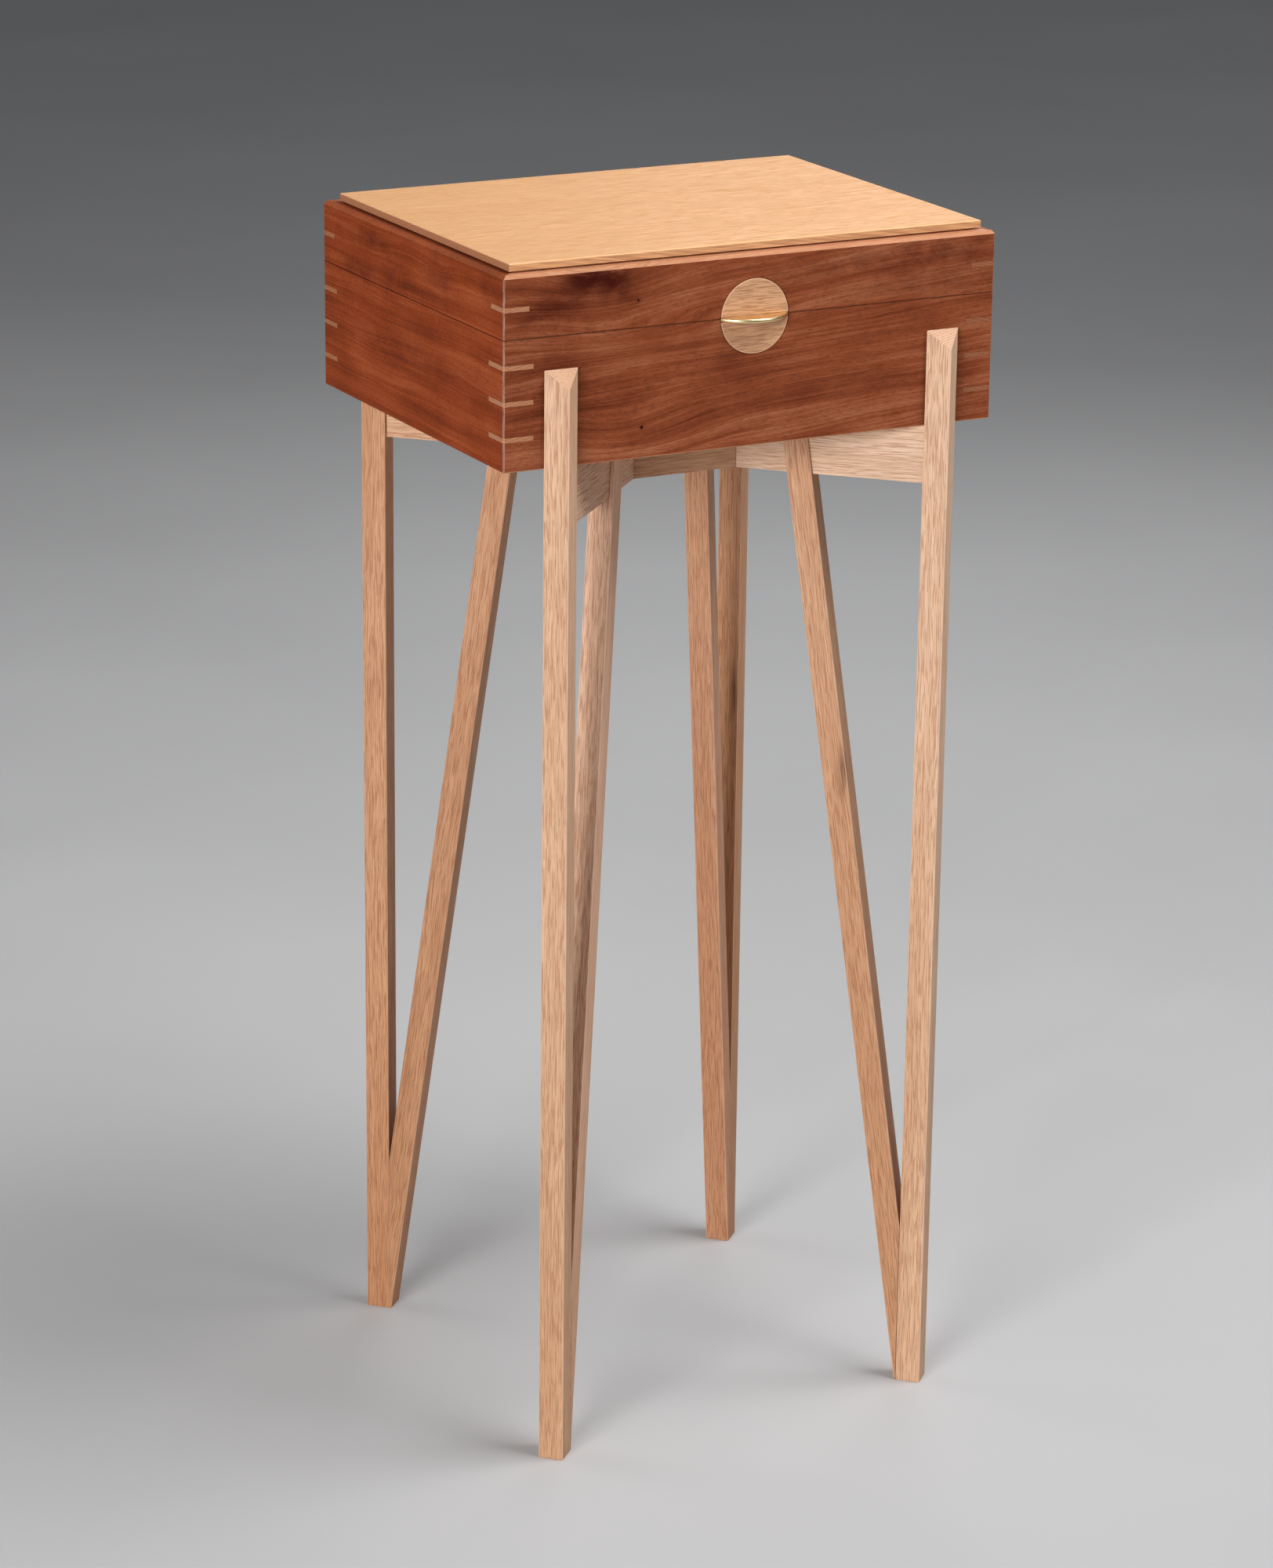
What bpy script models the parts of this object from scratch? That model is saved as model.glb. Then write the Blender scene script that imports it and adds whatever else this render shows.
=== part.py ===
"""A keyed, mitred keepsake box that stands between the horns of a four-legged stand.

Metres, +Z up. The origin is on the floor under the middle of the stand, and -Y is the front.
Each leg is a post with a raking brace, and an arm ties it to a small square hub under the box.
"""

import math

import bmesh
import bpy
from mathutils import Matrix, Vector

# Clearances
FIT = 0.0003  # between pieces that slip together
GLUE_LINE = 0.00015  # in mitres, and round keys and inlays
OVERCUT = 0.004  # how far a cutter runs past the face that it opens

# The box
BOX_WIDTH = 0.400
BOX_DEPTH = 0.308
WALL = 0.013
BASE_HEIGHT = 0.095
LID_HEIGHT = 0.0455
SEAM = 0.0004  # open line between base and lid
ARRIS = 0.001  # flat on the upright corners
BASE_CHAMFER = 0.001
RIM_CHAMFER = 0.0024

# The bottom panel, in a groove of the base
GROOVE = 0.005  # depth of both panel grooves
BOTTOM_THICK = 0.006
BOTTOM_RISE = 0.007  # wood under the groove

# The raised lid panel, held by a tongue under the rim
PANEL_INSET = 0.008  # from the outside of the box to the edge of the field
PANEL_BACK_INSET = 0.0125  # the same behind, over the hinges
FIELD = 0.0055
SHADOW_GAP = 0.0014  # between the rim and the field
LIP = 0.006  # wood of the rim over the tongue
TONGUE = 0.004
FIELD_ROUND = 0.0012
ROUND_STEPS = 4

# Corner keys
KEY = 0.0035
BASE_KEYS = 3
BASE_KEY_LOW = 0.0236  # from the lower edge of the base to its lowest key
BASE_KEY_HIGH = 0.0198  # from its upper edge to its highest
LID_KEY_RISE = 0.0212  # from the lower edge of the lid to its key
BASE_KEY_WEB = 0.0018  # wood left inside the corner, behind the slot
LID_KEY_WEB = 0.0043

# The round inlay and the finger pull
DISC_DIAMETER = 0.055
DISC_DEPTH = 0.004
DISC_CHAMFER = 0.0003
DISC_STEPS = 40  # facets of the half circle
PULL_THICK = 0.0032
PULL_REACH = 0.015  # in front of the box
PULL_SINK = 0.0008  # let into the lid
PULL_COVER = 0.004  # wood left behind the pull
PULL_ROUND = 0.0013

# Butt hinges
HINGE_SPACING = 0.250
HINGE_LENGTH = 0.038
LEAF = 0.0012
LEAF_COVER = 0.002  # wood left inside the leaf
KNUCKLE_DIAMETER = 0.005
PIN_DIAMETER = 0.0024
PIN_STEPS = 24

# The stand
SEAT_HEIGHT = 0.766
STOCK = 0.019  # square stock of posts and braces
STOCK_ARRIS = 0.0006
HORN_PLAY = 0.002  # from the face of the box to the flat of the horn
HORN_HEIGHT = 0.072  # above the seat
HORN_DROP = 0.0135  # fall of the bevel on the horn
BRACE_SPREAD = 0.110  # from the post to the inside of the brace, at the seat
FOOT_SWELL = 0.0013  # what the brace adds to the post at the floor
ARM_THICK = 0.012
ARM_DEPTH = 0.0435
HUB_WIDTH = 0.103
TENON_THICK = 0.006
TENON_SHOULDER = 0.007  # above and below the tenons
POST_TENON = 0.010
HUB_TENON = 0.008

# How shapes are sorted
SAME_WAY = 0.9999  # least cosine between an edge and the way that it runs
SMOOTH_BELOW = math.radians(30)  # facets that meet at less are shaded as one

# Heights that follow from these
BOX_Z = SEAT_HEIGHT + FIT
SEAM_Z = BOX_Z + BASE_HEIGHT
LID_Z = SEAM_Z + SEAM
RIM_Z = LID_Z + LID_HEIGHT
HORN_Z = SEAT_HEIGHT + HORN_HEIGHT

# Places that follow from these
DIAGONAL = math.sqrt(2)
POST_OFFSET = BOX_DEPTH / 2 + HORN_PLAY
POST_OUT = POST_OFFSET * DIAGONAL  # along the diagonal, from the middle of the stand
HUB_FLAT = ARM_THICK / DIAGONAL  # what each hub side loses at a corner
HUB_OUT = (HUB_WIDTH - HUB_FLAT) / DIAGONAL  # the flat corner that an arm meets
HINGE_Z = SEAM_Z + SEAM / 2
HINGE_Y = BOX_DEPTH / 2 + FIT + KNUCKLE_DIAMETER / 2
PULL_TOP = LID_Z + PULL_SINK - GLUE_LINE
PULL_TAIL = WALL - PULL_COVER
LEAF_WIDTH = WALL - LEAF_COVER

CORNERS = {
    "front_left": (-1, -1),
    "front_right": (1, -1),
    "back_right": (1, 1),
    "back_left": (-1, 1),
}
SIDES = ("front", "right", "back", "left")  # a quarter turn from each to the next
CORNERS_OF = {
    "front": ("front_left", "front_right"),
    "right": ("front_right", "back_right"),
    "back": ("back_right", "back_left"),
    "left": ("back_left", "front_left"),
}


def clear_scene():
    for old in list(bpy.data.objects):
        bpy.data.objects.remove(old)


def finish(name, colour, roughness, metallic=0.0):
    """A plain surface with the colour, roughness and metal of its material."""
    made = bpy.data.materials.new(name)
    made.use_nodes = True
    shader = made.node_tree.nodes["Principled BSDF"]
    shader.inputs["Base Color"].default_value = (*colour, 1.0)
    shader.inputs["Roughness"].default_value = roughness
    shader.inputs["Metallic"].default_value = metallic
    return made


def frame(name, location):
    """An empty that carries the pieces of one body."""
    empty = bpy.data.objects.new(name, None)
    empty.location = location
    bpy.context.scene.collection.objects.link(empty)
    return empty


def place(name, bm, body, location=(0, 0, 0), turn=0.0):
    """Makes an object of a shape, turned about Z, and hangs it on its body."""
    bmesh.ops.recalc_face_normals(bm, faces=bm.faces[:])
    mesh = bpy.data.meshes.new(name)
    bm.to_mesh(mesh)
    bm.free()
    made = bpy.data.objects.new(name, mesh)
    made.location = location
    made.rotation_euler.z = turn
    made.parent = body
    made.matrix_parent_inverse = Matrix.Translation(body.location).inverted()
    bpy.context.scene.collection.objects.link(made)
    return made


def piece(name, bm, body, surface, location=(0, 0, 0), turn=0.0, smooth=False):
    made = place(name, bm, body, location, turn)
    made.data.materials.append(surface)
    if smooth:
        made.data.shade_smooth()
        made.data.set_sharp_from_angle(angle=SMOOTH_BELOW)
    return made


def cutter(name, bm, body, location=(0, 0, 0), turn=0.0):
    made = place(name, bm, body, location, turn)
    made.hide_render = True
    made.display_type = "WIRE"
    return made


def boolean(target, tool, operation):
    step = target.modifiers.new(tool.name, "BOOLEAN")
    step.operation = operation
    step.solver = "EXACT"
    step.object = tool


def block(low, high, bm=None):
    """A box between two corners, in a shape of its own or added to one."""
    if bm is None:
        bm = bmesh.new()
    cube = bmesh.ops.create_cube(bm, size=1.0)["verts"]
    low, high = Vector(low), Vector(high)
    bmesh.ops.scale(bm, vec=high - low, verts=cube)
    bmesh.ops.translate(bm, vec=(low + high) / 2, verts=cube)
    return bm


def prism(outline, low, high, along):
    """An outline swept along Y, where its points are (x, z), or along Z, where they are (x, y)."""
    bm = bmesh.new()
    if along == "Y":
        start = [bm.verts.new((a, low, b)) for a, b in outline]
        sweep = (0, high - low, 0)
    else:
        start = [bm.verts.new((a, b, low)) for a, b in outline]
        sweep = (0, 0, high - low)
    swept = bmesh.ops.extrude_face_region(bm, geom=[bm.faces.new(start)])
    moved = [part for part in swept["geom"] if isinstance(part, bmesh.types.BMVert)]
    bmesh.ops.translate(bm, vec=sweep, verts=moved)
    return bm


def stepped(sections):
    """A block of rectangular steps along Z: each section is (height, half width, half depth)."""
    bm = bmesh.new()
    rings = []
    for height, wide, deep in sections:
        corners = ((-wide, -deep), (wide, -deep), (wide, deep), (-wide, deep))
        rings.append([bm.verts.new((x, y, height)) for x, y in corners])
    for lower, upper in zip(rings, rings[1:]):
        for i in range(4):
            j = (i + 1) % 4
            bm.faces.new((lower[i], lower[j], upper[j], upper[i]))
    bm.faces.new(rings[0])
    bm.faces.new(rings[-1])
    return bm


def rod(diameter, low, high, centre):
    """A round bar along X, from low to high, on the (y, z) centre."""
    bm = bmesh.new()
    bmesh.ops.create_cone(
        bm,
        cap_ends=True,
        segments=PIN_STEPS,
        radius1=diameter / 2,
        radius2=diameter / 2,
        depth=high - low,
        matrix=Matrix.Rotation(math.pi / 2, 4, "Y"),
    )
    bmesh.ops.translate(bm, vec=((low + high) / 2, *centre), verts=bm.verts[:])
    return bm


def slice_off(bm, point, normal):
    """Cuts away what lies beyond a plane and closes the cut."""
    everything = bm.verts[:] + bm.edges[:] + bm.faces[:]
    cut = bmesh.ops.bisect_plane(
        bm, geom=everything, plane_co=point, plane_no=normal, clear_outer=True
    )
    rim = [part for part in cut["geom_cut"] if isinstance(part, bmesh.types.BMEdge)]
    bmesh.ops.holes_fill(bm, edges=rim)


def ease(bm, edges, width, segments=1):
    """Takes the sharpness off some edges."""
    bmesh.ops.bevel(
        bm, geom=edges, offset=width, segments=segments, profile=0.5, affect="EDGES"
    )


def long_edges(bm, direction):
    """The edges that run along a direction."""
    direction = Vector(direction).normalized()
    found = []
    for edge in bm.edges:
        run = (edge.verts[1].co - edge.verts[0].co).normalized()
        if abs(run.dot(direction)) > SAME_WAY:
            found.append(edge)
    return found


def mitred_side(half_length, outline, tip):
    """One side of a mitred frame: x along it, y inwards from its outer face.

    The outline's points are (y, z). Its ends are mitred with half a glue line, and tip is what
    the pointed outer edge loses on each face.
    """
    bm = bmesh.new()
    back = GLUE_LINE / DIAGONAL
    ends = []
    for sign in (-1, 1):
        ends.append([bm.verts.new((sign * (half_length - back - y), y, z)) for y, z in outline])
        bm.faces.new(ends[-1])
    for i in range(len(outline)):
        j = (i + 1) % len(outline)
        bm.faces.new((ends[0][i], ends[1][i], ends[1][j], ends[0][j]))
    for sign in (-1, 1):
        slice_off(bm, (sign * (half_length - tip), 0, 0), (sign, -1, 0))
    return bm


def side_place(turns, width, depth, height):
    """Where a side goes: its half length, its place and its turn."""
    half_length, face = (width / 2, depth / 2) if turns % 2 == 0 else (depth / 2, width / 2)
    turn = turns * math.pi / 2
    location = Matrix.Rotation(turn, 3, "Z") @ Vector((0, -face, 0))
    location.z = height
    return half_length, location, turn


def corner_turn(corner):
    """The turn that points local x out along a corner's diagonal."""
    across, along = CORNERS[corner]
    return math.atan2(along, across)


def out_on(corner, distance, height=0.0):
    """A point this far from the middle of the stand on a corner's diagonal."""
    turn = corner_turn(corner)
    return Vector((math.cos(turn) * distance, math.sin(turn) * distance, height))


def make_posts(stand, oak):
    """Square posts turned to the diagonal, cut in half from corner to corner where the box stands."""
    half = STOCK / 2
    room = cutter(
        "box_room",
        block(
            (-BOX_WIDTH, -POST_OFFSET, SEAT_HEIGHT),
            (BOX_WIDTH, POST_OFFSET, HORN_Z + OVERCUT),
        ),
        stand,
    )
    for corner, (across, along) in CORNERS.items():
        bm = block((-half, -half, 0), (half, half, HORN_Z))
        ease(bm, long_edges(bm, (0, 0, 1)), STOCK_ARRIS)
        # The bevel falls from the flat of the horn to the outer corner of the post.
        outward = Vector((1, across * along, 0)) / DIAGONAL
        slope = outward * HORN_DROP + Vector((0, 0, STOCK / DIAGONAL))
        slice_off(bm, (0, 0, HORN_Z), slope)
        location, turn = out_on(corner, POST_OUT), corner_turn(corner)
        post = piece("post_" + corner, bm, stand, oak, location, turn)
        boolean(post, room, "DIFFERENCE")
        high = ARM_DEPTH / 2 - TENON_SHOULDER + FIT
        wide = TENON_THICK / 2 + FIT
        middle = SEAT_HEIGHT - ARM_DEPTH / 2
        mortise = block(
            (-half - OVERCUT, -wide, middle - high),
            (-half + POST_TENON + FIT, wide, middle + high),
        )
        boolean(post, cutter("mortise_" + corner, mortise, stand, location, turn), "DIFFERENCE")


def make_braces(stand, oak):
    """Raking bars, scarfed to the foot of the post and forked over the arm."""
    half = STOCK / 2
    slope = (BRACE_SPREAD - FOOT_SWELL) / SEAT_HEIGHT
    level_width = STOCK * math.hypot(1, slope)
    post_face = -half - FIT
    foot = -half - FOOT_SWELL
    head = -half - BRACE_SPREAD
    crotch = (foot + level_width - post_face) / slope
    outline = (
        (foot, 0),
        (post_face, 0),
        (post_face, crotch),
        (head + level_width, SEAT_HEIGHT),
        (head, SEAT_HEIGHT),
    )
    for corner in CORNERS:
        bm = prism(outline, -half, half, "Y")
        ease(bm, long_edges(bm, (-slope, 0, 1)), STOCK_ARRIS)
        location, turn = out_on(corner, POST_OUT), corner_turn(corner)
        brace = piece("brace_" + corner, bm, stand, oak, location, turn)
        wide = ARM_THICK / 2 + FIT
        fork = block(
            (head - OVERCUT, -wide, SEAT_HEIGHT - ARM_DEPTH - FIT),
            (post_face, wide, SEAT_HEIGHT + OVERCUT),
        )
        boolean(brace, cutter("fork_" + corner, fork, stand, location, turn), "DIFFERENCE")


def make_arms(stand, oak):
    """Level arms from the hub to the posts, with a stub tenon at each end."""
    inner = HUB_OUT + FIT
    outer = POST_OUT - STOCK / 2 - FIT
    high, wide = ARM_DEPTH / 2, ARM_THICK / 2
    tenon_high, tenon_wide = high - TENON_SHOULDER, TENON_THICK / 2
    sections = (
        (inner - HUB_TENON, tenon_high, tenon_wide),
        (inner, tenon_high, tenon_wide),
        (inner, high, wide),
        (outer, high, wide),
        (outer, tenon_high, tenon_wide),
        (outer + POST_TENON, tenon_high, tenon_wide),
    )
    for corner in CORNERS:
        bm = stepped(sections)
        bmesh.ops.rotate(bm, matrix=Matrix.Rotation(math.pi / 2, 3, "Y"), verts=bm.verts[:])
        middle = (0, 0, SEAT_HEIGHT - high)
        piece("arm_" + corner, bm, stand, oak, middle, corner_turn(corner))


def make_hub(stand, oak):
    """A small mitred square whose flattened corners take the arms."""
    mortises = {}
    high = ARM_DEPTH / 2 - TENON_SHOULDER + FIT
    wide = TENON_THICK / 2 + FIT
    middle = SEAT_HEIGHT - ARM_DEPTH / 2
    for corner in CORNERS:
        bm = block(
            (HUB_OUT - HUB_TENON, -wide, middle - high), (HUB_OUT + OVERCUT, wide, middle + high)
        )
        mortises[corner] = cutter("hub_mortise_" + corner, bm, stand, turn=corner_turn(corner))
    outline = ((0, 0), (ARM_THICK, 0), (ARM_THICK, ARM_DEPTH), (0, ARM_DEPTH))
    for turns, name in enumerate(SIDES):
        half_length, location, turn = side_place(
            turns, HUB_WIDTH, HUB_WIDTH, SEAT_HEIGHT - ARM_DEPTH
        )
        bm = mitred_side(half_length, outline, HUB_FLAT)
        side = piece("hub_" + name, bm, stand, oak, location, turn)
        for corner in CORNERS_OF[name]:
            boolean(side, mortises[corner], "DIFFERENCE")


def base_outline():
    """Section of a base side: a chamfered foot and the groove for the bottom."""
    groove_top = BOTTOM_RISE + BOTTOM_THICK + 2 * FIT
    return (
        (BASE_CHAMFER, 0),
        (WALL, 0),
        (WALL, BOTTOM_RISE),
        (WALL - GROOVE, BOTTOM_RISE),
        (WALL - GROOVE, groove_top),
        (WALL, groove_top),
        (WALL, BASE_HEIGHT),
        (0, BASE_HEIGHT),
        (0, BASE_CHAMFER),
    )


def lid_outline():
    """Section of a lid side: a chamfered rim with the panel groove under its lip."""
    groove_top = LID_HEIGHT - LIP
    groove_low = groove_top - TONGUE - 2 * FIT
    return (
        (0, 0),
        (WALL, 0),
        (WALL, groove_low),
        (WALL - GROOVE, groove_low),
        (WALL - GROOVE, groove_top),
        (WALL, groove_top),
        (WALL, LID_HEIGHT),
        (RIM_CHAMFER, LID_HEIGHT),
        (0, LID_HEIGHT - RIM_CHAMFER),
    )


def key_slots(prefix, body, heights, leg):
    """A cutter for the key slots of each corner: level saw kerfs across the mitre."""
    slots = {}
    half = KEY / 2 + GLUE_LINE
    corner_out = math.hypot(BOX_WIDTH, BOX_DEPTH) / 2
    for corner, (across, along) in CORNERS.items():
        bm = bmesh.new()
        for height in heights:
            low = (-leg / DIAGONAL, -corner_out, height - half)
            block(low, (OVERCUT, corner_out, height + half), bm)
        location = (across * BOX_WIDTH / 2, along * BOX_DEPTH / 2, 0)
        name = prefix + "_slots_" + corner
        slots[corner] = cutter(name, bm, body, location, corner_turn(corner))
    return slots


def make_keys(prefix, body, wood, heights, leg):
    """Triangular keys, flush with both faces of the corner."""
    reach = leg - GLUE_LINE * DIAGONAL
    outline = ((ARRIS, 0), (reach, 0), (0, reach), (0, ARRIS))
    for corner, (across, along) in CORNERS.items():
        location = (across * BOX_WIDTH / 2, along * BOX_DEPTH / 2, 0)
        # Local x and y run along the two faces, away from the corner.
        turn = corner_turn(corner) + math.pi - math.pi / 4
        for i, height in enumerate(heights):
            bm = prism(outline, height - KEY / 2, height + KEY / 2, "Z")
            number = "_%d" % (i + 1) if len(heights) > 1 else ""
            piece(prefix + "_key_" + corner + number, bm, body, wood, location, turn)


def disc_room(prefix, body):
    """A cutter for the round recess in the front."""
    bm = bmesh.new()
    radius = DISC_DIAMETER / 2 + GLUE_LINE
    depth = DISC_DEPTH + GLUE_LINE + OVERCUT
    bmesh.ops.create_cone(
        bm,
        cap_ends=True,
        segments=2 * DISC_STEPS,
        radius1=radius,
        radius2=radius,
        depth=depth,
        matrix=Matrix.Rotation(math.pi / 2, 4, "X"),
    )
    middle = -BOX_DEPTH / 2 - OVERCUT + depth / 2
    return cutter(prefix + "_disc_room", bm, body, (0, middle, HINGE_Z))


def pull_room(prefix, body):
    """A cutter for the slot that the pull lies in."""
    half = DISC_DIAMETER / 2 + FIT
    bm = block(
        (-half, -OVERCUT, PULL_TOP - PULL_THICK - FIT),
        (half, PULL_TAIL + FIT, PULL_TOP + GLUE_LINE),
    )
    return cutter(prefix + "_pull_room", bm, body, (0, -BOX_DEPTH / 2, 0))


def make_disc_half(name, body, oak, upper, pull):
    """Half of the round inlay, flush with the front and sawn along the seam."""
    radius = DISC_DIAMETER / 2
    edge = math.asin(SEAM / 2 / radius)
    sign = 1 if upper else -1
    outline = []
    for i in range(DISC_STEPS + 1):
        angle = edge + (math.pi - 2 * edge) * i / DISC_STEPS
        outline.append((radius * math.cos(angle), sign * radius * math.sin(angle)))
    bm = prism(outline, 0, DISC_DEPTH, "Y")
    front = [e for e in bm.edges if max(v.co.y for v in e.verts) < DISC_DEPTH / 2]
    ease(bm, front, DISC_CHAMFER)
    half = piece(name, bm, body, oak, (0, -BOX_DEPTH / 2, HINGE_Z), smooth=True)
    boolean(half, pull, "DIFFERENCE")


def make_pull(lid, brass):
    """A brass plate under the lid's front edge, round in front, with a straight tail in the slot."""
    half = DISC_DIAMETER / 2
    radius = (half**2 + PULL_REACH**2) / (2 * PULL_REACH)
    centre = radius - PULL_REACH
    sweep = math.asin(half / radius)
    outline = [(half, PULL_TAIL), (-half, PULL_TAIL)]
    for i in range(DISC_STEPS + 1):
        angle = sweep * (2 * i / DISC_STEPS - 1)
        outline.append((radius * math.sin(angle), centre - radius * math.cos(angle)))
    bm = prism(outline, PULL_TOP - PULL_THICK, PULL_TOP, "Z")
    front = []
    for edge in bm.edges:
        level = abs(edge.verts[0].co.z - edge.verts[1].co.z) < PULL_THICK / 2
        if level and max(v.co.y for v in edge.verts) < PULL_TAIL / 2:
            front.append(edge)
    ease(bm, front, PULL_ROUND, ROUND_STEPS)
    piece("finger_pull", bm, lid, brass, (0, -BOX_DEPTH / 2, 0), smooth=True)


def make_box_sides(prefix, body, wood, outline, height, slots, front_rooms, back_rooms):
    """Four mitred sides, with the key slots, the inlay in front and the hinge mortises behind."""
    for turns, name in enumerate(SIDES):
        half_length, location, turn = side_place(turns, BOX_WIDTH, BOX_DEPTH, height)
        bm = mitred_side(half_length, outline, ARRIS)
        side = piece(prefix + "_" + name, bm, body, wood, location, turn)
        rooms = [slots[corner] for corner in CORNERS_OF[name]]
        if name == "front":
            rooms += front_rooms
        if name == "back":
            rooms += back_rooms
        for room in rooms:
            boolean(side, room, "DIFFERENCE")


def hinge_places():
    return {"left": HINGE_SPACING / 2, "right": -HINGE_SPACING / 2}  # as seen from behind


def hinge_rooms(prefix, body):
    """Cutters for the mortises that both leaves lie in."""
    rooms = []
    half = HINGE_LENGTH / 2 + FIT
    high = SEAM / 2 + LEAF + FIT
    for name, x in hinge_places().items():
        bm = block((x - half, -LEAF_WIDTH - FIT, -high), (x + half, OVERCUT, high))
        rooms.append(cutter(prefix + "_leaf_room_" + name, bm, body, (0, BOX_DEPTH / 2, HINGE_Z)))
    return rooms


def make_leaf(name, body, brass, x, sign, knuckles):
    """A hinge leaf with its knuckles, in the hinge's own frame: the pin lies along X at the origin."""
    start = -HINGE_LENGTH / 2
    third = HINGE_LENGTH / 3
    inner, outer = sorted((sign * SEAM / 2, sign * (SEAM / 2 + LEAF)))
    back_face = BOX_DEPTH / 2 - HINGE_Y
    location = (x, HINGE_Y, HINGE_Z)
    bm = block((start, back_face - LEAF_WIDTH, inner), (-start, back_face, outer))
    leaf = piece(name, bm, body, brass, location, smooth=True)
    for i in knuckles:
        low = start + third * i + (FIT / 2 if i > 0 else 0)
        high = start + third * (i + 1) - (FIT / 2 if i < 2 else 0)
        tab = block((low, back_face - FIT, inner), (high, 0, outer))
        boolean(leaf, cutter("%s_tab_%d" % (name, i), tab, body, location), "UNION")
        barrel = rod(KNUCKLE_DIAMETER, low, high, (0, 0))
        boolean(leaf, cutter("%s_barrel_%d" % (name, i), barrel, body, location), "UNION")
    bore = rod(PIN_DIAMETER + 2 * FIT, start - OVERCUT, OVERCUT - start, (0, 0))
    boolean(leaf, cutter(name + "_bore", bore, body, location), "DIFFERENCE")


def make_hinges(box, lid, brass):
    """Butt hinges: two knuckles on the base, one on the lid, and a pin through all three."""
    half = HINGE_LENGTH / 2
    for name, x in hinge_places().items():
        make_leaf("hinge_base_leaf_" + name, box, brass, x, -1, (0, 2))
        make_leaf("hinge_lid_leaf_" + name, lid, brass, x, 1, (1,))
        pin = rod(PIN_DIAMETER, -half, half, (0, 0))
        place_on_axis = (x, HINGE_Y, HINGE_Z)
        piece("hinge_pin_" + name, pin, box, brass, place_on_axis, smooth=True)


def make_bottom(box, oak):
    """A flat panel, loose in the grooves of the base."""
    edge = WALL - GROOVE + FIT
    half = (BOX_WIDTH / 2 - edge, BOX_DEPTH / 2 - edge)
    low = BOX_Z + BOTTOM_RISE + FIT
    piece("bottom_panel", stepped(((low, *half), (low + BOTTOM_THICK, *half))), box, oak)


def make_lid_panel(lid, oak):
    """One board: a tongue in the groove, a neck between the sides, and a field that stands over the rim."""

    def section(height, inset):
        return (height, BOX_WIDTH / 2 - inset, BOX_DEPTH / 2 - inset)

    tongue_top = RIM_Z - LIP - FIT
    field_low = RIM_Z + SHADOW_GAP
    field_top = field_low + FIELD
    tongue_edge = WALL - GROOVE + FIT
    neck = WALL + FIT
    sections = [
        section(tongue_top - TONGUE, tongue_edge),
        section(tongue_top, tongue_edge),
        section(tongue_top, neck),
        section(field_low, neck),
        section(field_low, PANEL_INSET),
    ]
    for i in range(ROUND_STEPS + 1):
        angle = math.pi / 2 * i / ROUND_STEPS
        inset = PANEL_INSET + FIELD_ROUND * (1 - math.cos(angle))
        sections.append(section(field_top - FIELD_ROUND * (1 - math.sin(angle)), inset))
    bm = stepped(sections)
    for vert in bm.verts:
        if vert.co.z > RIM_Z and vert.co.y > BOX_DEPTH / 2 - WALL:
            vert.co.y -= PANEL_BACK_INSET - PANEL_INSET
    piece("lid_panel", bm, lid, oak, smooth=True)


def make_base(box, walnut, oak):
    step = (BASE_HEIGHT - BASE_KEY_LOW - BASE_KEY_HIGH) / (BASE_KEYS - 1)
    heights = [BOX_Z + BASE_KEY_LOW + step * i for i in range(BASE_KEYS)]
    leg = 2 * WALL - BASE_KEY_WEB * DIAGONAL
    slots = key_slots("base", box, heights, leg)
    pull = pull_room("base", box)
    front_rooms = [disc_room("base", box), pull]
    make_box_sides(
        "base", box, walnut, base_outline(), BOX_Z, slots, front_rooms, hinge_rooms("base", box)
    )
    make_keys("base", box, oak, heights, leg)
    make_disc_half("disc_lower", box, oak, False, pull)
    make_bottom(box, oak)


def make_lid(lid, walnut, oak, panel_oak, brass):
    heights = [LID_Z + LID_KEY_RISE]
    leg = 2 * WALL - LID_KEY_WEB * DIAGONAL
    slots = key_slots("lid", lid, heights, leg)
    pull = pull_room("lid", lid)
    front_rooms = [disc_room("lid", lid), pull]
    make_box_sides(
        "lid", lid, walnut, lid_outline(), LID_Z, slots, front_rooms, hinge_rooms("lid", lid)
    )
    make_keys("lid", lid, oak, heights, leg)
    make_disc_half("disc_upper", lid, oak, True, pull)
    make_pull(lid, brass)
    make_lid_panel(lid, panel_oak)


def main():
    clear_scene()
    stand_oak = finish("stand_oak", (0.50, 0.29, 0.16), 0.50)
    inlay_oak = finish("inlay_oak", (0.56, 0.33, 0.17), 0.45)
    panel_oak = finish("panel_oak", (0.66, 0.42, 0.19), 0.42)
    walnut = finish("walnut", (0.20, 0.062, 0.026), 0.42)
    brass = finish("brass", (0.83, 0.62, 0.28), 0.22, 1.0)
    stand = frame("stand", (0, 0, 0))
    box = frame("box", (0, 0, SEAT_HEIGHT))
    lid = frame("lid", (0, HINGE_Y, HINGE_Z))
    make_posts(stand, stand_oak)
    make_braces(stand, stand_oak)
    make_arms(stand, stand_oak)
    make_hub(stand, stand_oak)
    make_base(box, walnut, inlay_oak)
    make_lid(lid, walnut, inlay_oak, panel_oak, brass)
    make_hinges(box, lid, brass)


main()
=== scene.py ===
"""Looks of the box on stand: surfaces, hinge screws, floor, light and camera."""

import math

import bmesh
import bpy
from mathutils import Matrix, Vector


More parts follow.
